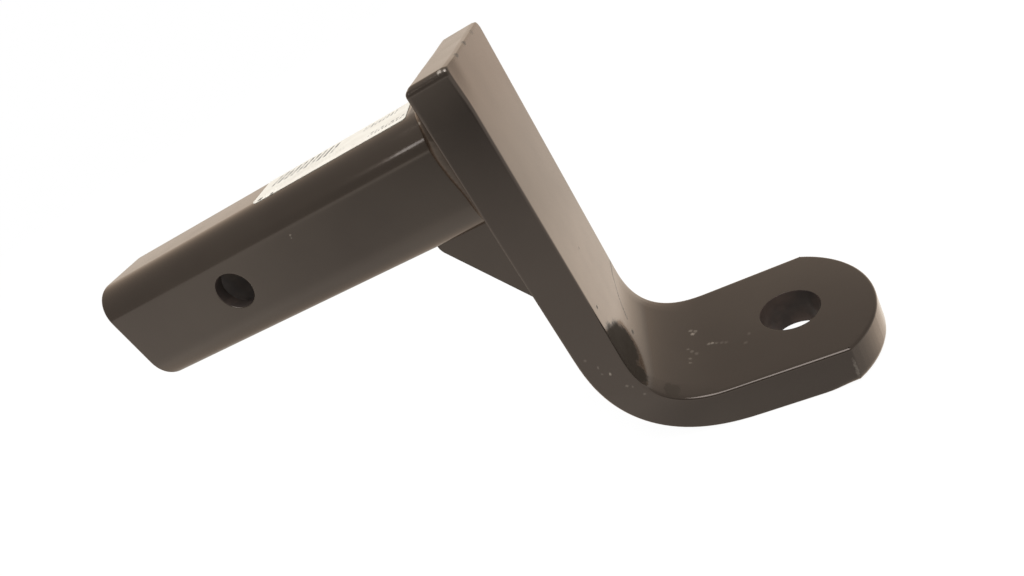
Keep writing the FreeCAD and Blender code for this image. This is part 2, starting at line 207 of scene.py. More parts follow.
def black_paint(name, dust_and_glints=(), pits=(), painted_shade=(), painted_shade_from=-1.0, coat=PAINT_COAT):
    """Semi-gloss black enamel: faint orange peel, thinner patches, stray specks that settled on it, and the
    marks given, some of which are painted glints. The pits have only the dull first coat; the painted shade,
    past a distance across, is painted just as dark and dull."""
    material, tree, shader, place = new_material(name)
    patches = fade(tree, blotches(tree, place, 14.0, 4.0), 0.35, 0.7)
    colour = mix_colours(tree, patches, PAINT_BLACK, PAINT_THIN)
    grain = add_node(tree, "ShaderNodeTexVoronoi", {"Vector": place, "Scale": DUST_PITCH})
    speck = fade(tree, grain.outputs["Distance"], 0.055, 0.03)
    chance = add_node(tree, "ShaderNodeSeparateColor", {0: grain.outputs["Color"]}).outputs[0]
    rare = fade(tree, chance, 0.9, 0.95)
    dust_and_glint_mask = combine(tree, "MULTIPLY", combine(tree, "MULTIPLY", speck, rare), DUST_STRENGTH)
    # The marks given are dust and scuffs, and some are painted glints.
    if dust_and_glints:
        dust_and_glint_mask = combine(tree, "MAXIMUM", dust_and_glint_mask, marks_at(tree, place, dust_and_glints))
    colour = mix_colours(tree, dust_and_glint_mask, colour, DUST_AND_GLINT_GREY)
    peel = combine(tree, "MULTIPLY", blotches(tree, place, PEEL_PITCH, 1.0), PEEL_HEIGHT)
    sags = combine(tree, "MULTIPLY", blotches(tree, place, SAG_PITCH, 2.0), SAG_HEIGHT)
    height = combine(tree, "ADD", peel, sags)
    height = combine(tree, "ADD", height, combine(tree, "MULTIPLY", dust_and_glint_mask, DUST_HEIGHT))
    bump = add_node(tree, "ShaderNodeBump", {"Height": height, "Strength": 0.25, "Distance": RELIEF})
    tree.links.new(bump.outputs["Normal"], shader.inputs["Normal"])
    rough = fade(tree, blotches(tree, place, 60.0, 3.0), 0.3, 0.7, *PAINT_GLOSS)
    rough = combine(tree, "ADD", rough, combine(tree, "MULTIPLY", dust_and_glint_mask, DUST_ROUGHNESS))
    shader.inputs["Metallic"].default_value = PAINT_METAL
    shader.inputs["Coat Weight"].default_value = coat
    if pits or painted_shade:
        # Painted shade: places painted darker and duller, standing for shade and a dark reflection in the
        # gloss, left off whatever lies nearer than the given distance across. The pits are real marks in the
        # paint.
        across = add_node(tree, "ShaderNodeSeparateXYZ", {0: place}).outputs[1]
        painted_shade_mask = combine(tree, "MULTIPLY", marks_at(tree, place, painted_shade, ragged=4.0, grain=520.0, solid=0.7),
                       fade(tree, across, painted_shade_from, painted_shade_from + MM))
        pits_and_painted_shade = combine(tree, "MAXIMUM", marks_at(tree, place, pits), painted_shade_mask)
        unmarked_share = combine(tree, "SUBTRACT", 1.0, pits_and_painted_shade)
        colour = mix_colours(tree, pits_and_painted_shade, colour, PITS_AND_SHADE_BLACK)
        rough = combine(tree, "ADD", rough, combine(tree, "MULTIPLY", pits_and_painted_shade, DULL_ROUGHNESS))
        tree.links.new(combine(tree, "MULTIPLY", unmarked_share, PAINT_METAL), shader.inputs["Metallic"])
        tree.links.new(combine(tree, "MULTIPLY", unmarked_share, coat), shader.inputs["Coat Weight"])
    tree.links.new(colour, shader.inputs["Base Color"])
    tree.links.new(rough, shader.inputs["Roughness"])
    shader.inputs["Specular Tint"].default_value = WARM_EDGE
    shader.inputs["Coat Roughness"].default_value = COAT_ROUGHNESS
    return material


def dull_scale(name, paler, browner):
    """Dull brown scale: unpainted inside the tube, and under a little overspray in the holes."""
    material, tree, shader, place = new_material(name)
    scale = fade(tree, blotches(tree, place, 90.0, 4.0), 0.35, 0.65)
    tree.links.new(mix_colours(tree, scale, paler, browner), shader.inputs["Base Color"])
    rough = fade(tree, blotches(tree, place, 200.0, 2.0), 0.3, 0.7, 0.5, 0.7)
    tree.links.new(rough, shader.inputs["Roughness"])
    shader.inputs["Specular IOR Level"].default_value = 0.2
    return material


tube = bmesh.new()
bmesh.ops.create_circle(tube, cap_ends=False, radius=PIN_RADIUS, segments=PIN_SEGMENTS,
                        matrix=Matrix.Translation((0, -SHANK_HALF, 0)) @ Matrix.Rotation(math.pi / 2, 4, "X"))
patch = bmesh.ops.extrude_edge_only(tube, edges=tube.edges[:])["geom"]
for corner in patch:
    if isinstance(corner, bmesh.types.BMVert):
        stretch = SHANK_FLAT / max(abs(corner.co.x), abs(corner.co.z))
        corner.co.x *= stretch
        corner.co.z *= stretch
for side, reach in ((-1, shank_low.x), (1, shank_high.x)):
    upright = [edge for edge in tube.edges
               if all(abs(end.co.x - side * SHANK_FLAT) < TOUCHING for end in edge.verts)]
    pull(tube, upright, Vector((reach - side * SHANK_FLAT, 0, 0)))
for side in (-1, 1):
    brim = [edge for edge in tube.edges
            if all(abs(end.co.z - side * SHANK_FLAT) < TOUCHING for end in edge.verts)]
    turned = bmesh.ops.spin(tube, geom=brim, cent=(0, -SHANK_FLAT, side * SHANK_FLAT), axis=(1, 0, 0),
                            angle=-side * math.pi / 2, steps=CORNER_STEPS, use_merge=False)["geom_last"]
    last = [item for item in turned if isinstance(item, bmesh.types.BMEdge)]
    pull(tube, last, Vector((0, SHANK_FLAT, 0)))
bmesh.ops.mirror(tube, geom=tube.verts[:] + tube.edges[:] + tube.faces[:], axis="Y", merge_dist=TOUCHING)
bmesh.ops.remove_doubles(tube, verts=tube.verts[:], dist=TOUCHING)
bmesh.ops.recalc_face_normals(tube, faces=tube.faces[:])
bmesh.ops.solidify(tube, geom=tube.faces[:], thickness=SHANK_WALL)
bmesh.ops.recalc_face_normals(tube, faces=tube.faces[:])
pin_rims = [edge for edge in tube.edges if crease(edge, SQUARE_EDGE)
            and all(end.co.xz.length < PIN_RADIUS + MM / 100 for end in edge.verts)]
round_edges(tube, pin_rims, PIN_RIM, EDGE_STEPS)
sawn = [edge for edge in tube.edges if crease(edge, SQUARE_EDGE)
        and all(end.co.x < shank_low.x + TOUCHING for end in edge.verts)]
round_edges(tube, sawn, SAWN_EDGE, EDGE_STEPS)
for face in tube.faces:
    middle = face.calc_center_median()
    if middle.xz.length < PIN_RADIUS + MM / 20:
        face.material_index = 1
    elif face.normal.y * middle.y + face.normal.z * middle.z < -TOUCHING:
        face.material_index = 2
paint_in_holes = dull_scale("paint_in_holes", HOLE_BROWN, HOLE_RUST)
paint_on_shank = black_paint("paint_on_shank", SHANK_DUST, painted_shade=SHANK_PAINTED_SHADE)
bare_inside = dull_scale("bare_inside", SCALE_GREY, SCALE_BROWN)
place_piece(tube, "shank_tube", "shank", "black_paint", paint_on_shank, paint_in_holes, bare_inside)

# Drop bar: one length of thick flat steel bar, sheared off at the top, with a rounded end and a hole
# for the ball's stud. It is cut and drilled flat, and then bent hot once, through a right angle, which
# draws its outer side thinner and rolls the inner edges of the bend over.
bar_low, bar_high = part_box("drop_bar")
BAR_HALF = bar_high.y
BAR_THICK = mounts["ball_hole"]["dims"]["length_mm"] * MM
BAR_BACK = shank_high.x
PLATFORM_TOP = bar_low.z + BAR_THICK
BEND_INSIDE = 29.0 * MM
BEND_OUTSIDE = 50.0 * MM
BEND_FULLNESS = 2.4
BEND_STEPS = 28
BEND_LENGTH = 50.0 * MM
BEND_EASE = 16.0 * MM
SHOULDER_DROP = 1.0 * MM
SHOULDER_WIDTH = 10.0 * MM


def bend_reach(radius):
    """How far from the corner a gradual bend starts, to be as deep as a round one of this radius."""
    return radius * (1 - 2 ** -0.5) / (1 - 2 ** (-1 / BEND_FULLNESS))


INSIDE_CORNER = Vector((BAR_BACK + BAR_THICK, 0, PLATFORM_TOP))
OUTSIDE_CORNER = Vector((BAR_BACK, 0, bar_low.z))
INSIDE_REACH = bend_reach(BEND_INSIDE)
OUTSIDE_REACH = bend_reach(BEND_OUTSIDE)
OUTSIDE_LEAD = OUTSIDE_CORNER.z + OUTSIDE_REACH - INSIDE_CORNER.z - INSIDE_REACH
DROP_LENGTH = bar_high.z - INSIDE_CORNER.z - INSIDE_REACH
BEND_END = DROP_LENGTH + BEND_LENGTH
BALL_RADIUS = mounts["ball_hole"]["dims"]["r_mm"] * MM
BALL_ALONG = BEND_END + mounts["ball_hole"]["pos_m"][0] - INSIDE_CORNER.x - INSIDE_REACH
BALL_SEGMENTS = 96
BALL_RIM = 0.3 * MM
TIP_REACH = bar_high.x - mounts["ball_hole"]["pos_m"][0]
SHOULDER_REACH = 14.0 * MM
END_DEPTH = TIP_REACH - SHOULDER_REACH
END_RADIUS = (BAR_HALF ** 2 + END_DEPTH ** 2) / (2 * END_DEPTH)
EYE_BACK = BAR_HALF * math.tan(math.radians(30))
SHOULDER = BALL_ALONG + SHOULDER_REACH
ROLLED_END = 4.0 * MM
ROLL_RUN = 14.0 * MM
ROLL_WIDTH = 7.0 * MM
BLUNT_EDGE = 20
KINK_EDGE = 0.6 * MM
BAR_EDGE = 1.2 * MM
TOP_END = 18.0 * MM
TOP_BACK_ROUND = 3.2 * MM
TOP_TILT = 1.0 * MM
NEAR_CORNER = 2.6 * MM
FAR_CORNER = 4.6 * MM
NEAR_ROLL = 0.8 * MM
NEAR_ROLL_WIDTH = 14.0 * MM
SHEAR_WOBBLE = 0.3 * MM
SHEAR_PITCH = 14.0 * MM


def smooth_step(low, high, value):
    """A smooth rise from 0 at one value to 1 at another, on either side of it."""
    share = min(max((value - low) / (high - low), 0), 1)
    return share * share * (3 - 2 * share)


def reach_of_eye(direction):
    """How far the platform's outline lies from the ball hole's centre in a direction of the blank."""
    ahead, aside = direction.x, abs(direction.y)
    arc_middle = TIP_REACH - END_RADIUS
    to_arc = ahead * arc_middle + math.sqrt((ahead * arc_middle) ** 2 + END_RADIUS ** 2 - arc_middle ** 2)
    to_side = BAR_HALF / max(aside, TOUCHING / 1000)
    to_back = EYE_BACK / -ahead if ahead < -TOUCHING / 1000 else math.inf
    return min(to_arc, to_side, to_back)


def round_bend(corner, reach, turn):
    """A point of a bend that starts and ends gradually, at a share of its quarter turn."""
    away = [1 - max(part, 0) ** (2 / BEND_FULLNESS) for part in (math.cos(turn), math.sin(turn))]
    return corner + reach * Vector((away[0], 0, away[1]))


def bend(corner):
    """Carries a corner of the flat blank (along, across, up from the back) to its place on the bent bar."""
    along, across = corner.x, corner.y
    share = corner.z / BAR_THICK
    turn = min(max((along - DROP_LENGTH) / BEND_LENGTH, 0), 1) * math.pi / 2
    edge = max((abs(across) - BAR_HALF + SHOULDER_WIDTH) / SHOULDER_WIDTH, 0)
    share -= share * SHOULDER_DROP / BAR_THICK * edge ** 2 * math.sin(turn * 2) ** 2
    inside = round_bend(INSIDE_CORNER, INSIDE_REACH, turn)
    outside = round_bend(OUTSIDE_CORNER, OUTSIDE_REACH, turn)
    if along < DROP_LENGTH:
        inside.z = bar_high.z - along
        outside.z = inside.z + OUTSIDE_LEAD * smooth_step(DROP_LENGTH - BEND_EASE, DROP_LENGTH, along)
    elif along > BEND_END:
        inside.x += along - BEND_END
        outside.x = inside.x + OUTSIDE_LEAD * smooth_step(BEND_END + BEND_EASE, BEND_END, along)
    bent = outside.lerp(inside, share)
    return Vector((bent.x, across, bent.z))


def round_over(first, second, radius):
    """Moves a point near a square edge, given by its depths from both faces, onto a rounding of the edge."""
    inward = Vector((max(radius - first, 0), max(radius - second, 0)))
    spare = 1 - radius / max(inward.length, radius)
    return first + inward.x * spare, second + inward.y * spare


def roll_shoulder(corner):
    """Rolls the blank's lower side edges over, more and more towards the rounded end."""
    radius = BAR_EDGE + (ROLLED_END - BAR_EDGE) * smooth_step(SHOULDER - ROLL_RUN, SHOULDER, corner.x)
    side, height = round_over(BAR_HALF - abs(corner.y), corner.z, radius)
    return Vector((corner.x, math.copysign(BAR_HALF - side, corner.y), height))


def shear_off(place):
    """Shapes the top end as the shears left it: its edges rounded, its near side lower, and the near front
    corner dragged back."""
    front, back = BAR_BACK + BAR_THICK - place.x, place.x - BAR_BACK
    depth, side, top = min(front, back), BAR_HALF - abs(place.y), bar_high.z - place.z
    near = place.y < 0
    corner = NEAR_CORNER if near else FAR_CORNER
    toward = Vector((max(corner - side, 0), max(corner - top, 0)))
    gap = corner - toward.length
    if toward.length == 0:
        gap = min(side, top)
        toward = Vector((1, 0)) if side < top else Vector((0, 1))
    toward.normalize()
    edge = BAR_EDGE
    if back < front:
        edge += (TOP_BACK_ROUND - BAR_EDGE) * toward.y ** 2
    new_gap, depth = round_over(gap, depth, edge)
    side += toward.x * (new_gap - gap)
    top += toward.y * (new_gap - gap)
    end = smooth_step(TOP_END, 0, top)
    y = math.copysign(BAR_HALF - side, place.y)
    x = BAR_THICK - depth if front < back else depth
    if near:
        x -= NEAR_ROLL * x / BAR_THICK * end * smooth_step(NEAR_ROLL_WIDTH, 0, side)
    ragged = 0.5 + 0.5 * noise.noise(place / SHEAR_PITCH)
    top += end * (TOP_TILT * (BAR_HALF - y) / (2 * BAR_HALF) + SHEAR_WOBBLE * ragged)
    return Vector((BAR_BACK + x, y, bar_high.z - top))


bar = bmesh.new()
bmesh.ops.create_circle(bar, cap_ends=False, radius=BALL_RADIUS, segments=BALL_SEGMENTS,
                        matrix=Matrix.Translation((BALL_ALONG, 0, 0)))
eye = bmesh.ops.extrude_edge_only(bar, edges=bar.edges[:])["geom"]
eye = [item for item in eye if isinstance(item, bmesh.types.BMVert)]
ball_centre = Vector((BALL_ALONG, 0, 0))
for corner in eye:
    direction = (corner.co - ball_centre).normalized()
    corner.co = ball_centre + direction * reach_of_eye(direction)
for side in (-1, 1):
    shoulder = ball_centre + Vector((SHOULDER_REACH, side * BAR_HALF, 0))
    nearest = min(eye, key=lambda corner: (corner.co - shoulder).length)
    nearest.co = shoulder
back_line = [edge for edge in bar.edges
             if all(abs(end.co.x - BALL_ALONG + EYE_BACK) < TOUCHING for end in edge.verts)]
pull(bar, back_line, Vector((EYE_BACK - BALL_ALONG, 0, 0)))
blank = bmesh.ops.extrude_face_region(bar, geom=bar.faces[:])["geom"]
bmesh.ops.translate(bar, verts=[item for item in blank if isinstance(item, bmesh.types.BMVert)],
                    vec=(0, 0, BAR_THICK))
bmesh.ops.recalc_face_normals(bar, faces=bar.faces[:])


def upright_edges(low, high):
    """The blank's corner edges, along its thickness, between two distances from its top end."""
    return [edge for edge in bar.edges if crease(edge, BLUNT_EDGE) and low < edge.verts[0].co.x < high
            and abs(edge.verts[0].co.z - edge.verts[1].co.z) > BAR_THICK / 2]


def level(edge, height):
    return all(abs(end.co.z - height) < TOUCHING for end in edge.verts)


for face in bar.faces:
    if (face.calc_center_median() - ball_centre).xy.length < BALL_RADIUS + MM / 20:
        face.material_index = 1
rolled = [edge for edge in bar.edges if crease(edge, SQUARE_EDGE) and level(edge, 0)
          and all(end.co.x > SHOULDER - MM / 10 for end in edge.verts)
          and all((end.co - ball_centre).length > BALL_RADIUS + MM for end in edge.verts)]
round_edges(bar, rolled, ROLLED_END, 2 * EDGE_STEPS)
round_edges(bar, upright_edges(BALL_ALONG, BALL_ALONG + TIP_REACH), KINK_EDGE, EDGE_STEPS)
upper_rim = [edge for edge in bar.edges if crease(edge, SQUARE_EDGE) and level(edge, BAR_THICK)
             and all((end.co - ball_centre).xy.length < BALL_RADIUS + MM / 10 for end in edge.verts)]
round_edges(bar, upper_rim, BALL_RIM, EDGE_STEPS)
long_edges = [edge for edge in bar.edges if crease(edge, SQUARE_EDGE)
              and (level(edge, 0) or level(edge, BAR_THICK))
              and any(end.co.x > MM for end in edge.verts)
              and all((end.co - ball_centre).xy.length > BALL_RADIUS + 2 * MM for end in edge.verts)]
round_edges(bar, long_edges, BAR_EDGE, EDGE_STEPS)
bend_cuts = [DROP_LENGTH + BEND_LENGTH * step / BEND_STEPS for step in range(BEND_STEPS + 1)]
ease_shares = (0.25, 0.5, 0.75, 1)
ease_cuts = [DROP_LENGTH - BEND_EASE * share for share in ease_shares]
ease_cuts += [BEND_END + BEND_EASE * share for share in ease_shares]
drop_cuts = [20 * MM, 50 * MM, 80 * MM]
end_cuts = [depth * MM for depth in (0.3, 0.7, 1.2, 1.8, 2.5, 3.3, 4.5, 6, 8, 11, 14)] + [TOP_END]
corner_cuts = end_cuts[3:7]
side_insets = [inset * MM for inset in (2.5, 4.5, 6.5, 8.5, 10.5, 15, 22, 29)]
corner_insets = [1.8 * MM, 3.3 * MM]
roll_heights = [2.2 * MM, 3.2 * MM, 4.5 * MM]
roll_cuts = [SHOULDER - ROLL_RUN * share for share in (1, 0.8, 0.6, 0.4, 0.25, 0.12)]
ALONG = Vector((1, 0, 0))
ACROSS = Vector((0, 1, 0))
THROUGH = Vector((0, 0, 1))


def cut(distances, axis, zone=lambda place: True):
    """Cuts the blank's faces in a zone by planes square to an axis, to let it bend or round over."""
    for distance in distances:
        inside = [face for face in bar.faces if all(zone(end.co) for end in face.verts)]
        parts = {item for face in inside for item in (face, *face.edges, *face.verts)}
        bmesh.ops.bisect_plane(bar, geom=list(parts), dist=TOUCHING / 10, plane_co=axis * distance,
                               plane_no=axis)


def at_top(place):
    return place.x < TOP_END + MM / 10


def at_side(place):
    return abs(place.y) > BAR_HALF - ROLL_WIDTH


def at_shoulder(place):
    return at_side(place) and place.x > SHOULDER - ROLL_RUN - MM / 10


cut(bend_cuts + ease_cuts + end_cuts + drop_cuts, ALONG)
for side in (-1, 1):
    cut([side * (BAR_HALF - inset) for inset in side_insets], ACROSS)
    cut([side * (BAR_HALF - inset) for inset in corner_insets], ACROSS, at_top)
cut(corner_cuts + [BAR_THICK - inset for inset in corner_cuts], THROUGH, at_top)
cut(roll_cuts[:1], ALONG, at_side)
cut(roll_cuts[1:], ALONG, at_shoulder)
cut(roll_heights, THROUGH, at_shoulder)
for corner in bar.verts:
    top_end = corner.co.x < TOP_END
    if SHOULDER - ROLL_RUN < corner.co.x < SHOULDER + MM / 10:
        corner.co = roll_shoulder(corner.co)
    corner.co = bend(corner.co)
    if top_end:
        corner.co = shear_off(corner.co)
bmesh.ops.recalc_face_normals(bar, faces=bar.faces[:])
# Dust specks on the near side of the drop; the last entry is a pale line down the kink at the platform's end.
SIDE_DUST_AND_KINK_LINE = [((118.8, -36.5, -88.5), (0.9, 0.7, 0.7), 0.15), ((121.9, -36.5, -93.9), (0.5, 0.7, 1.1), 0.22),
             ((122.0, -36.5, -97.4), (0.6, 0.6, 0.6), 0.18), ((124.9, -36.5, -98.8), (0.6, 0.7, 1.1), 0.55),
             ((128.4, -36.5, -107.4), (0.8, 0.7, 0.8), 0.2), ((130.4, -36.5, -108.9), (0.6, 0.6, 0.7), 0.18),
             ((133.2, -36.5, -114.4), (0.8, 0.7, 0.7), 0.18), ((211.4, -36.2, -137.0), (1.0, 0.9, 7.0), 0.3)]
# Painted highlights: two pale spots on the near front corner of the top end, in place of glints.
CORNER_GLINTS = [((128.6, -35.3, 35.6), (1.3, 1.2, 1.2), 1.0), ((130.4, -35.4, 35.2), (0.9, 1.0, 1.0), 0.8)]
SCUFF_SIZE = (1.3, 1.3, 2.0)
SCUFF_HEIGHT = -126.2
SCUFFS = [(154.6, 9.5, 0.4), (155.3, 6.7, 0.7), (156.7, 8.4, 0.35), (161.1, -3.3, 0.4), (162.6, -3.6, 0.7),
          (164.4, -4.3, 0.25), (166.6, -5.3, 0.2), (168.4, -6.4, 0.2), (151.9, -4.1, 0.4),
          (153.3, -6.0, 0.25), (155.0, -8.0, 0.2), (151.9, -11.0, 0.3), (151.5, -13.8, 0.5),
          (176.4, -11.2, 0.2), (178.8, -6.1, 0.2)]
# Dust, scuffs and painted glints on the bar, all in the same pale grey.
BAR_DUST_AND_GLINTS = SIDE_DUST_AND_KINK_LINE + CORNER_GLINTS
BAR_DUST_AND_GLINTS += [((x, y, SCUFF_HEIGHT), SCUFF_SIZE, strength) for x, y, strength in SCUFFS]
BAR_PITS = [((132.0, -1.5, 35.9), (2.0, 3.0, 1.3), 0.4), ((132.0, -19.4, 35.6), (2.0, 3.0, 1.3), 0.4),
            ((132.0, 17.0, 35.9), (2.0, 3.4, 1.5), 0.2),
            ((132.3, -28.7, -71.9), (0.8, 1.6, 1.2), 0.7), ((132.3, -6.3, -55.8), (0.6, 1.2, 0.7), 0.4),
            ((133.5, -3.5, -106.0), (1.2, 2.6, 1.0), 0.5)]
HAIRLINE = [(132.3, 34.3, -88.4), (132.3, 24.5, -90.2), (132.3, 13.0, -95.8), (133.0, 2.0, -103.5)]
HAIR_STEPS = 8
HAIR_SIZE = (1.2, 1.6, 0.9)
HAIR_STRENGTH = 0.4
for start, end in zip(HAIRLINE, HAIRLINE[1:]):
    for step in range(HAIR_STEPS):
        BAR_PITS.append((Vector(start).lerp(Vector(end), step / HAIR_STEPS), HAIR_SIZE, HAIR_STRENGTH))
# Painted shade: dark, dull places low on the front of the drop, where the platform is mirrored in the gloss.
# They stay on the bar, so they show as a dark mark from other sides too.
BAR_PAINTED_SHADE = [((134.0, -33.5, -92.5), (9.0, 14.0, 14.5), 0.9),
              ((134.0, -25.0, -96.5), (9.0, 15.0, 12.5), 0.9),
              ((135.0, -19.0, -100.5), (8.5, 13.0, 9.0), 0.9),
              ((137.0, -31.0, -107.0), (6.0, 8.0, 6.0), 0.9),
              ((142.8, -32.5, -120.8), (4.5, 5.0, 4.0), 0.5)]
paint_on_bar = black_paint("paint_on_bar", BAR_DUST_AND_GLINTS, BAR_PITS, BAR_PAINTED_SHADE, painted_shade_from=MM / 4 - BAR_HALF)
place_piece(bar, "bent_bar", "drop_bar", "black_paint", paint_on_bar, paint_in_holes)

# Gusset: a triangle of steel plate with a blunt nose, set on edge in the corner under the shank and
# welded along both of its square sides. Its edges are as the shears left them, softened by the paint.
gusset_low, gusset_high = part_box("gusset")
GUSSET_NOSE = 5.5 * MM
GUSSET_NOSE_ROUND = 2.0 * MM
NOSE_STEPS = 5
GUSSET_EDGE = 0.6 * MM
GUSSET_EDGE_STEPS = 2
gusset = bmesh.new()
outline = [(gusset_high.x, gusset_high.z), (gusset_high.x, gusset_low.z),
           (gusset_low.x, gusset_high.z - GUSSET_NOSE), (gusset_low.x, gusset_high.z)]
plate = gusset.faces.new([gusset.verts.new((x, gusset_low.y, z)) for x, z in outline])
thick = bmesh.ops.extrude_face_region(gusset, geom=[plate])["geom"]
bmesh.ops.translate(gusset, verts=[item for item in thick if isinstance(item, bmesh.types.BMVert)],
                    vec=(0, gusset_high.y - gusset_low.y, 0))
bmesh.ops.recalc_face_normals(gusset, faces=gusset.faces[:])
nose = [edge for edge in gusset.edges
        if all(abs(end.co.x - gusset_low.x) < TOUCHING for end in edge.verts)
        and all(end.co.z < gusset_high.z - MM for end in edge.verts)]
round_edges(gusset, nose, GUSSET_NOSE_ROUND, NOSE_STEPS)
rims = [edge for edge in gusset.edges if crease(edge, SQUARE_EDGE)
        and any(end.co.z < gusset_high.z - MM for end in edge.verts)
        and any(end.co.x < gusset_high.x - MM for end in edge.verts)]
round_edges(gusset, rims, GUSSET_EDGE, GUSSET_EDGE_STEPS)
place_piece(gusset, "gusset_plate", "gusset", "black_paint", black_paint("paint_on_gusset"))

# Shank weld: a fillet weld that runs round the tube where it meets the back of the bar, widest on top.
# It stops on each side of the gusset. The thick paint has flowed over its ripples and nearly hides them.
weld_low, weld_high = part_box("shank_weld")
SHANK_LEG = weld_high.x - weld_low.x
LEAST_LEG = 0.62
RIPPLE_PITCH = 2.1 * MM
RIPPLE_HEIGHT = 0.07 * MM
RIPPLE_BOW = 1.3 * MM
LUMP_LENGTH = 7.0 * MM
LUMP_SHARE = 0.07
BEAD_SAMPLE = 0.5 * MM
BEAD_ARC = 10


def lay_bead(mesh, length, leg, root_at):
    """Lays a lumpy fillet bead along a root line. root_at gives, for a distance along it, the point of the
    root, the directions of the bead's two legs, and how much of the full leg it has there."""
    steps = round(length / BEAD_SAMPLE)
    grid = bmesh.ops.create_grid(mesh, x_segments=steps, y_segments=BEAD_ARC + 2, size=0.5)["verts"]
    for corner in grid:
        distance = (corner.co.x + 0.5) * length
        column = round((corner.co.y + 0.5) * (BEAD_ARC + 2))
        root, first, second, share = root_at(distance)
        swing = min(max((column - 1) / BEAD_ARC, 0), 1) * math.pi / 2
        bow = RIPPLE_BOW * math.sin(2 * swing)
        ripple = abs(math.sin((distance + bow) * math.pi / RIPPLE_PITCH))
        lump = noise.noise(Vector((distance / LUMP_LENGTH, swing, leg / MM)))
        size = leg * share * (1 - LUMP_SHARE + LUMP_SHARE * lump) - RIPPLE_HEIGHT * (1 - ripple)
        inside = column in (0, BEAD_ARC + 2)
        corner.co = root if inside else root + size * (first * math.cos(swing) + second * math.sin(swing))
    bmesh.ops.remove_doubles(mesh, verts=grid, dist=TOUCHING / 10)


def round_shank(distance):
    """The root of the weld round the tube, from one side of the gusset to the other."""
    run = distance + gusset_high.y
    place = Vector((0, 0, -SHANK_HALF))
    quarter = SHANK_CORNER * math.pi / 2
    stretches = [SHANK_FLAT] + [quarter, 2 * SHANK_FLAT] * 4
    heading = 0
    for number, stretch in enumerate(stretches):
        used = min(run, stretch)
        along = Vector((0, math.cos(heading), math.sin(heading)))
        out = Vector((0, math.sin(heading), -math.cos(heading)))
        if number % 2:
            turned = used / SHANK_CORNER
            centre = place - out * SHANK_CORNER
            heading += turned
            out = Vector((0, math.sin(heading), -math.cos(heading)))
            place = centre + out * SHANK_CORNER
        else:
            place = place + along * used
        run -= used
        if run <= 0:
            break
    root = Vector((shank_high.x, place.y, place.z))
    share = LEAST_LEG + (1 - LEAST_LEG) * smooth_step(-SHANK_HALF, SHANK_FLAT, place.z)
    return root, Vector((-1, 0, 0)), out, share


SHANK_ROUND = 8 * SHANK_FLAT + 2 * math.pi * SHANK_CORNER - (gusset_high.y - gusset_low.y)
WELD_GLINTS = [((109.9, -26.0, 23.2), (1.3, 2.0, 0.9), 1.0)]
paint_on_welds = black_paint("paint_on_welds", WELD_GLINTS, coat=0.25)
shank_bead = bmesh.new()
lay_bead(shank_bead, SHANK_ROUND, SHANK_LEG, round_shank)
bmesh.ops.holes_fill(shank_bead, edges=shank_bead.edges[:], sides=0)
bmesh.ops.recalc_face_normals(shank_bead, faces=shank_bead.faces[:])
place_piece(shank_bead, "shank_bead", "shank_weld", "black_paint", paint_on_welds)

# Gusset welds: two short fillet welds on each side of the gusset, one along the underside of the shank
# and one down the back of the bar. They start where the weld round the shank ends.
beads_low, beads_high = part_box("gusset_weld")
GUSSET_LEG = beads_high.y - gusset_high.y
gusset_beads = bmesh.new()
for side in (-1, 1):
    face = side * gusset_high.y
    outward = Vector((0, side, 0))
    along_start = Vector((beads_low.x, face, -SHANK_HALF))
    down_start = Vector((shank_high.x, face, beads_low.z))
    lay_bead(gusset_beads, weld_low.x - beads_low.x, GUSSET_LEG,
             lambda distance: (along_start + distance * ALONG, outward, -THROUGH, LEAST_LEG))
    lay_bead(gusset_beads, -SHANK_HALF - SHANK_LEG - beads_low.z, GUSSET_LEG,
             lambda distance: (down_start + distance * THROUGH, outward, -ALONG, LEAST_LEG))
bmesh.ops.holes_fill(gusset_beads, edges=gusset_beads.edges[:], sides=0)
bmesh.ops.recalc_face_normals(gusset_beads, faces=gusset_beads.faces[:])
place_piece(gusset_beads, "gusset_beads", "gusset_weld", "black_paint", paint_on_welds)

# Label: a white adhesive film stuck along the top of the shank and pressed a little way round its two
# upper corners. It was put on slightly askew, and its rear corner has been nicked.
label_low, label_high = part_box("label")
LABEL_SKEW = 5.0 * MM
LABEL_CORNER = 2.2 * MM
LABEL_CORNER_STEPS = 5
LABEL_FILM = label_high.z - shank_high.z
LABEL_CUTS = 9
FILM_WHITE = (0.92, 0.88, 0.79, 1)
FILM_AGED = (0.85, 0.80, 0.71, 1)
PRINT_GREY = (0.13, 0.13, 0.125, 1)
FILM_ROUGHNESS = 0.55
WRINKLE_DEPTH = 0.0001
RULE_END = 0.3 * MM
RULE_EDGE = 0.2 * MM
RULE_SCALE = 100.0
RULE_UNIT = RULE_SCALE * MM
BLOCK_GAP = 0.19


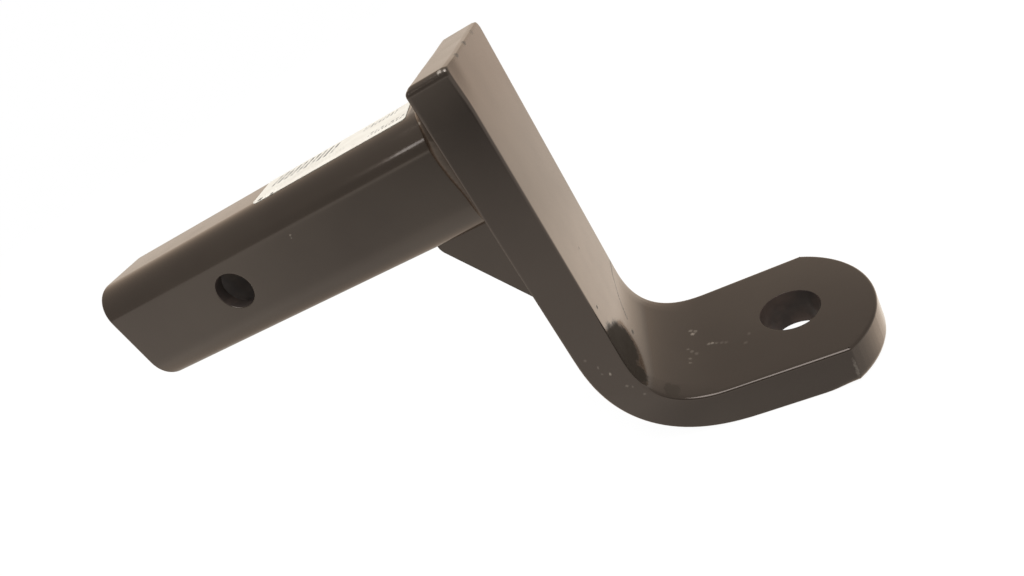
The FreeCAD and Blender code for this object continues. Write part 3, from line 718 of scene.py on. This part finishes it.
def label_film(name):
    """White film with broken grey rules along it: a bold row, and finer ones towards the bar."""
    material, tree, shader, place = new_material(name)
    colour = mix_colours(tree, fade(tree, blotches(tree, place, 120.0, 4.0), 0.3, 0.7), FILM_WHITE, FILM_AGED)
    parts = add_node(tree, "ShaderNodeSeparateXYZ", {0: place})
    along, across = parts.outputs[0], parts.outputs[1]
    for start, end, low, high, row, block, strength in RULES:
        inside = combine(tree, "MULTIPLY", fade(tree, along, start * MM, start * MM + RULE_END),
                         fade(tree, along, end * MM, end * MM - RULE_END))
        band = combine(tree, "MULTIPLY", fade(tree, across, low * MM, low * MM + RULE_EDGE),
                       fade(tree, across, high * MM, high * MM - RULE_EDGE))
        in_rule = vectors(tree, "SUBTRACT", place, (start * MM, low * MM, 0))
        gaps = add_node(tree, "ShaderNodeTexBrick",
                        {"Vector": in_rule, "Scale": RULE_SCALE, "Mortar Size": BLOCK_GAP * RULE_UNIT * block,
                         "Brick Width": RULE_UNIT * block, "Row Height": RULE_UNIT * row},
                        offset=0.37, squash=0.7, squash_frequency=3)
        printed = combine(tree, "MULTIPLY", combine(tree, "SUBTRACT", 1.0, gaps.outputs["Fac"]),
                          fade(tree, blotches(tree, place, 380.0, 2.0), 0.35, 0.6, 0.2, 1.0))
        ink = combine(tree, "MULTIPLY", combine(tree, "MULTIPLY", inside, band), printed)
        colour = mix_colours(tree, combine(tree, "MULTIPLY", ink, strength), colour, PRINT_GREY)
    colour = mix_colours(tree, marks_at(tree, place, LABEL_NICKS), colour, PAINT_BLACK)
    tree.links.new(colour, shader.inputs["Base Color"])
    wrinkles = add_node(tree, "ShaderNodeBump", {"Height": blotches(tree, place, 160.0, 3.0),
                                                 "Strength": 0.15, "Distance": WRINKLE_DEPTH})
    tree.links.new(wrinkles.outputs["Normal"], shader.inputs["Normal"])
    shader.inputs["Roughness"].default_value = FILM_ROUGHNESS
    return material


# Each rule's start and end along the film, its two edges across it, its row height and block length in
# millimetres, and how dark it is printed.
RULES = [(30, 64, -2.5, 12.0, 14.5, 5.0, 0.95), (76, 93, 4.5, 10.5, 6.0, 2.8, 0.9),
         (84, 101, -12.6, -7.0, 2.8, 2.4, 0.9), (36, 72, -11.0, -3.0, 2.0, 1.8, 0.2)]
LABEL_NICKS = [((30.2, -13.6, 25.5), (1.8, 1.6, 1.4), 0.95), ((36.7, -14.3, 25.3), (1.2, 1.0, 1.2), 0.9)]


def press_on(corner):
    """Carries a point of the flat film (along, across) onto the tube's top and round its corners."""
    across, lift = corner.y, corner.z
    beyond = max(abs(across) - SHANK_FLAT, 0) / SHANK_CORNER
    radius = SHANK_CORNER + lift
    side = math.copysign(1, across)
    flat = min(abs(across), SHANK_FLAT)
    out = flat + radius * math.sin(beyond)
    return Vector((corner.x, side * out, SHANK_FLAT + radius * math.cos(beyond)))


film = bmesh.new()
label_turn = math.asin((label_high.y - SHANK_FLAT) / (SHANK_CORNER + LABEL_FILM))
LABEL_REACH = SHANK_FLAT + SHANK_CORNER * label_turn
film_corners = [(label_low.x + LABEL_SKEW, -LABEL_REACH), (label_high.x, -LABEL_REACH),
                (label_high.x - LABEL_SKEW, LABEL_REACH), (label_low.x, LABEL_REACH)]
film.faces.new([film.verts.new((x, y, 0)) for x, y in film_corners])
bmesh.ops.bevel(film, geom=film.verts[:], offset=LABEL_CORNER, offset_type="OFFSET", affect="VERTICES",
                segments=LABEL_CORNER_STEPS, profile=0.5, material=-1)
for step in range(1, 2 * LABEL_CUTS):
    bmesh.ops.bisect_plane(film, geom=film.verts[:] + film.edges[:] + film.faces[:], dist=TOUCHING / 10,
                           plane_co=(0, LABEL_REACH * (step / LABEL_CUTS - 1), 0), plane_no=(0, 1, 0))
grown = bmesh.ops.extrude_face_region(film, geom=film.faces[:])["geom"]
bmesh.ops.translate(film, verts=[item for item in grown if isinstance(item, bmesh.types.BMVert)],
                    vec=(0, 0, LABEL_FILM))
for corner in film.verts:
    corner.co = press_on(corner.co)
bmesh.ops.recalc_face_normals(film, faces=film.faces[:])
place_piece(film, "label_film", "label", "label_film", label_film("printed_film"))

# Studio: a wide pale floor under the platform, even light from a white room, one large soft lamp above
# the bar and one small one in front. The room is dimmer on the camera's side, and the floor is dimmer
# there, far behind the bar and in two places beside it, as the gloss of the paint shows.
FLOOR_SIZE = 12.0
FLOOR_PALE = (0.86, 0.85, 0.83, 1)
SEEN_WHITE = 0.9
SEEN_STRENGTH = 1.07
ROOM_LIGHT = 0.5
FLOOR_TINT = (1.0, 0.93, 0.84, 1)
FAR_TINT = (0.95, 0.84, 0.74, 1)
ROOM_TINT = (1.0, 0.895, 0.78, 1)
DIM_SPOT = (0.15, -1.0, bar_low.z)
SPOT_FADE = (0.15, 0.9, 0.24, 1.12)
BEHIND_FADE = (0.09, 0.33, 1.0, 0.76)
FAR_FADE = (0.2, 1.1)
# Dim places on the floor: the middle, its spread, where the shade starts and stops to lift, and what is left.
SHADES = [((-0.13, 0.13, bar_low.z), (4.0, 5.0, 0.0), 0.4, 1.4, 0.38),
          ((0.185, -0.047, bar_low.z), (14.0, 33.0, 0.0), 0.5, 1.2, 0.68)]
BRIGHT_BEHIND = Vector((0.45, 0.85, 0.2)).normalized()
DIM_FRONT = Vector((0.15, -0.98, 0.1)).normalized()
DIM_CEILING = Vector((-0.75, -0.35, 0.55)).normalized()
ROOM_MIRRORED = 0.71
# Sides of the room as the gloss shows them: the direction, how near it counts fully and at all, and a share.
ROOM_SIDES = [(DIM_FRONT, 0.95, 0.6, 0.62), (DIM_CEILING, 0.95, 0.4, 0.84), (BRIGHT_BEHIND, 0.98, 0.68, 1.15)]
# Each lamp's name, place, width, height and watts.
LAMPS = [("soft_lamp", (0.27, -0.3, 1.05), 0.75, 0.95, 9),
         ("small_lamp", (-0.3, -0.87, 0.59), 0.07, 0.14, 0.15)]
LAMP_AIM = Vector((0.1, 0, -0.06))
PLAIN_WHITE = (1, 1, 1, 1)


def seen_directly(tree):
    """Two masks: of rays seen straight, in a reflection or through glass, and of reflections alone."""
    path = add_node(tree, "ShaderNodeLightPath")
    mirrored = combine(tree, "MAXIMUM", path.outputs["Is Glossy Ray"], path.outputs["Is Transmission Ray"])
    return combine(tree, "MAXIMUM", path.outputs["Is Camera Ray"], mirrored), path.outputs["Is Glossy Ray"]


def choose(tree, share, first, second):
    return add_node(tree, "ShaderNodeMix", {0: share, 2: first, 3: second}, data_type="FLOAT").outputs[0]


floor_mesh = bmesh.new()
bmesh.ops.create_grid(floor_mesh, x_segments=1, y_segments=1, size=FLOOR_SIZE,
                      matrix=Matrix.Translation((0, 0, bar_low.z)))
floor_data = bpy.data.meshes.new("floor")
floor_mesh.to_mesh(floor_data)
floor_mesh.free()
floor = bpy.data.objects.new("floor", floor_data)
bpy.context.collection.objects.link(floor)
floor_paint = bpy.data.materials.new("pale_floor")
floor_paint.use_nodes = True
tree = floor_paint.node_tree
tree.nodes.clear()
seen, mirrored = seen_directly(tree)
matt = add_node(tree, "ShaderNodeBsdfDiffuse", {"Color": FLOOR_PALE})
ground = add_node(tree, "ShaderNodeTexCoord").outputs["Object"]
away = vectors(tree, "DISTANCE", ground, DIM_SPOT)
behind = add_node(tree, "ShaderNodeSeparateXYZ", {0: ground}).outputs[1]
lit = combine(tree, "MULTIPLY", fade(tree, away, *SPOT_FADE), fade(tree, behind, *BEHIND_FADE))
for middle, spread, dark, light, least in SHADES:
    under = vectors(tree, "MULTIPLY", vectors(tree, "SUBTRACT", ground, middle), spread)
    under = vectors(tree, "LENGTH", under)
    lit = combine(tree, "MULTIPLY", lit, fade(tree, under, dark, light, least, 1.0))
shaded = choose(tree, mirrored, SEEN_STRENGTH, lit)
tint = mix_colours(tree, fade(tree, behind, *FAR_FADE), FLOOR_TINT, FAR_TINT)
tint = mix_colours(tree, mirrored, PLAIN_WHITE, tint)
white = add_node(tree, "ShaderNodeEmission", {"Color": tint, "Strength": shaded})
share = combine(tree, "MULTIPLY", seen, SEEN_WHITE)
both = add_node(tree, "ShaderNodeMixShader", {0: share, 1: matt.outputs[0], 2: white.outputs[0]})
add_node(tree, "ShaderNodeOutputMaterial", {"Surface": both.outputs[0]})
floor_data.materials.append(floor_paint)

world = bpy.data.worlds.new("white_room")
bpy.context.scene.world = world
world.use_nodes = True
tree = world.node_tree
tree.nodes.clear()
seen, mirrored = seen_directly(tree)
toward = add_node(tree, "ShaderNodeTexCoord").outputs["Generated"]
dimmed = ROOM_MIRRORED
for side, narrow, wide, share in ROOM_SIDES:
    facing = vectors(tree, "DOT_PRODUCT", toward, side)
    dimmed = combine(tree, "MULTIPLY", dimmed, fade(tree, facing, wide, narrow, 1.0, share))
strength = choose(tree, seen, ROOM_LIGHT, choose(tree, mirrored, 1.0, dimmed))
tint = mix_colours(tree, mirrored, PLAIN_WHITE, ROOM_TINT)
room = add_node(tree, "ShaderNodeBackground", {"Color": tint, "Strength": strength})
add_node(tree, "ShaderNodeOutputWorld", {"Surface": room.outputs[0]})

for name, place, width, height, watts in LAMPS:
    lamp_data = bpy.data.lights.new(name, "AREA")
    lamp_data.shape = "RECTANGLE"
    lamp_data.size = width
    lamp_data.size_y = height
    lamp_data.energy = watts
    lamp = bpy.data.objects.new(name, lamp_data)
    lamp.location = place
    lamp.rotation_euler = (LAMP_AIM - lamp.location).to_track_quat("-Z", "Y").to_euler()
    bpy.context.collection.objects.link(lamp)

# Camera: in front of the mount, a little to the ball's side of the bar and above it. It is level with a
# table on which the mount would lie, leaning on its shank end and its bend, so it looks rolled here.
CAMERA_PLACE = Vector((0.19452, -0.25489, 0.06375))
CAMERA_AIM = Vector((-0.32891, 0.84497, -0.42173))
CAMERA_UP = Vector((0.37947, 0.52719, 0.76032))
FOCAL_PIXELS = 680.5
IMAGE_WIDTH = 1024
SENSOR_WIDTH = 36
CLIP_START = 0.01
camera_data = bpy.data.cameras.new("camera")
camera_data.sensor_width = SENSOR_WIDTH
camera_data.lens = FOCAL_PIXELS / IMAGE_WIDTH * camera_data.sensor_width
camera_data.clip_start = CLIP_START
camera = bpy.data.objects.new("camera", camera_data)
right = CAMERA_AIM.cross(CAMERA_UP).normalized()
turned = Matrix((right, right.cross(CAMERA_AIM), -CAMERA_AIM)).transposed()
camera.matrix_world = Matrix.Translation(CAMERA_PLACE) @ turned.to_4x4()
bpy.context.collection.objects.link(camera)
bpy.context.scene.camera = camera
bpy.context.scene.view_settings.view_transform = "Standard"
